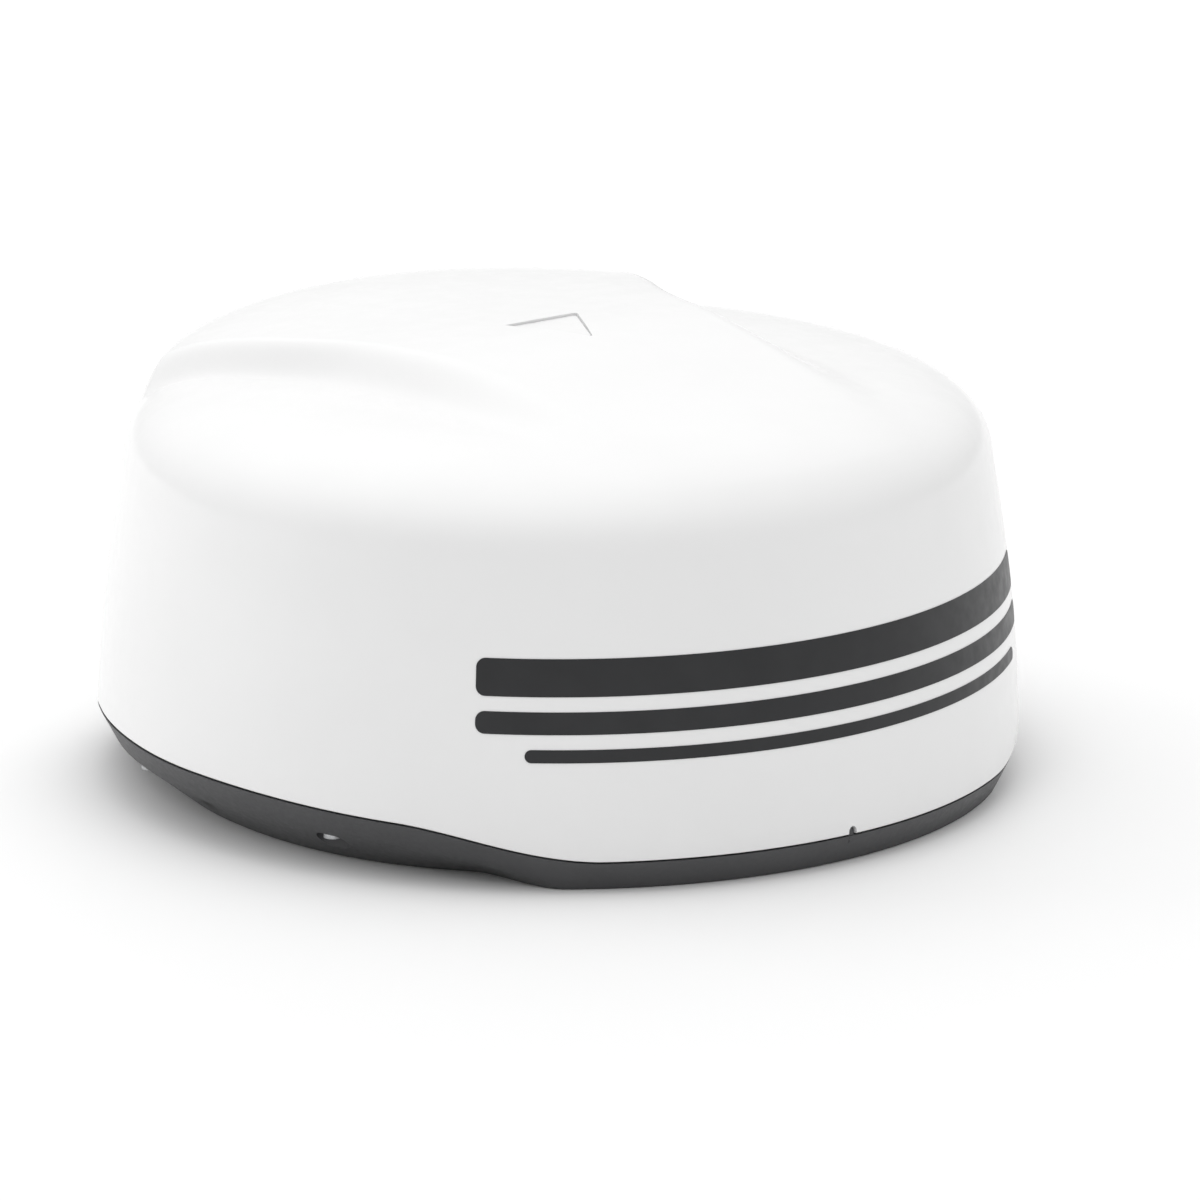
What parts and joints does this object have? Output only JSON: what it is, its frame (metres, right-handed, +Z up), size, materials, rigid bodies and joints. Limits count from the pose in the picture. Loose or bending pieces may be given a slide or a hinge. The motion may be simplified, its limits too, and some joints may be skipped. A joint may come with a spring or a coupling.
{
  "type": "radar dome antenna",
  "caption": "Closed marine radar scanner: glossy white lift-off dome over a charcoal base, with a rotating patch array, gear drive and transceiver inside.",
  "frame": {"origin": "on the antenna's axis of rotation, at the flat underside of the base", "axes": "+Z up along the antenna's axis, -Y towards the bow, +X to starboard"},
  "size_m": [0.5076, 0.5085, 0.2479],
  "materials": {
    "dome_white": "gloss gelcoat white",
    "graphic": "satin vinyl",
    "base_charcoal": "cast, satin charcoal powder coat",
    "rubber_black": "matt",
    "plastic_black": "moulded",
    "cast_aluminium": "as cast",
    "sheet_aluminium": "passivated sheet",
    "bearing_steel": "ground",
    "stainless": "bright",
    "brass": "machined",
    "gear_white": "acetal",
    "circuit_green": "solder mask",
    "foam_white": "closed-cell foam",
    "motor_dark": "satin black"
  },
  "bodies": {
    "base": {"base_pan": "base_charcoal", "dome_gasket": "rubber_black", "mount_insert_1": "stainless", "mount_insert_2": "stainless", "mount_insert_3": "stainless", "mount_insert_4": "stainless", "power_socket": "plastic_black", "network_socket": "plastic_black", "breather_vent": "plastic_black", "chassis_frame": "cast_aluminium", "chassis_screw_1": "stainless", "chassis_screw_2": "stainless", "chassis_screw_3": "stainless", "chassis_screw_4": "stainless", "lower_bearing_outer": "bearing_steel", "upper_bearing_outer": "bearing_steel", "motor_body": "motor_dark", "motor_bracket": "sheet_aluminium", "position_sensor": "circuit_green", "rotary_joint_stator": "brass", "transceiver_case": "cast_aluminium", "transceiver_lid": "sheet_aluminium", "receiver_board": "circuit_green", "processor_board": "circuit_green", "power_board": "circuit_green", "pulse_transformer": "motor_dark", "magnetron": "motor_dark", "feed_line": "brass", "fan_frame": "plastic_black"},
    "dome": {"dome_cover": "dome_white", "bow_stripe_upper": "graphic", "bow_stripe_middle": "graphic", "bow_stripe_lower": "graphic", "dome_insert_1": "brass", "dome_insert_2": "brass", "dome_insert_3": "brass", "dome_insert_4": "brass"},
    "antenna": {"main_shaft": "stainless", "driven_gear": "gear_white", "lower_bearing_inner": "bearing_steel", "upper_bearing_inner": "bearing_steel", "bearing_circlip": "bearing_steel", "rotary_joint_rotor": "brass", "position_magnet": "motor_dark", "antenna_bracket": "sheet_aluminium", "array_backplate": "sheet_aluminium", "array_core": "foam_white", "array_board": "circuit_green", "array_end_left": "plastic_black", "array_end_right": "plastic_black", "array_feed": "brass"},
    "motor_rotor": {"motor_shaft": "stainless", "drive_pinion": "brass"},
    "fan_rotor": {"fan_impeller": "plastic_black"},
    "screw_1": {"captive_screw_1": "stainless"},
    "screw_2": {"captive_screw_2": "stainless"},
    "screw_3": {"captive_screw_3": "stainless"},
    "screw_4": {"captive_screw_4": "stainless"}
  },
  "joints": [
    {"name": "dome_lift", "type": "slide", "parent": "base", "child": "dome", "axis": [0, 0, 1], "range_m": [0, 0.3]},
    {"name": "antenna_spin", "type": "hinge", "parent": "base", "child": "antenna", "pos_m": [0, 0, 0.1], "axis": [0, 0, 1], "continuous": true},
    {"name": "motor_spin", "type": "hinge", "parent": "base", "child": "motor_rotor", "pos_m": [0.07215, 0, 0.1], "axis": [0, 0, 1], "continuous": true},
    {"name": "fan_spin", "type": "hinge", "parent": "base", "child": "fan_rotor", "pos_m": [-0.087, 0.082, 0.0406], "axis": [1, 0, 0], "continuous": true},
    {"name": "captive_screw_1_turn", "type": "hinge", "parent": "base", "child": "screw_1", "pos_m": [0.21659, -0.08314, 0.018], "axis": [0, 0, 1], "continuous": true},
    {"name": "captive_screw_2_turn", "type": "hinge", "parent": "base", "child": "screw_2", "pos_m": [0.21659, 0.08314, 0.018], "axis": [0, 0, 1], "continuous": true},
    {"name": "captive_screw_3_turn", "type": "hinge", "parent": "base", "child": "screw_3", "pos_m": [-0.21659, 0.08314, 0.018], "axis": [0, 0, 1], "continuous": true},
    {"name": "captive_screw_4_turn", "type": "hinge", "parent": "base", "child": "screw_4", "pos_m": [-0.21659, -0.08314, 0.018], "axis": [0, 0, 1], "continuous": true}
  ],
  "couplings": [
    {"joint": "motor_spin", "follows": "antenna_spin", "ratio": -3}
  ]
}
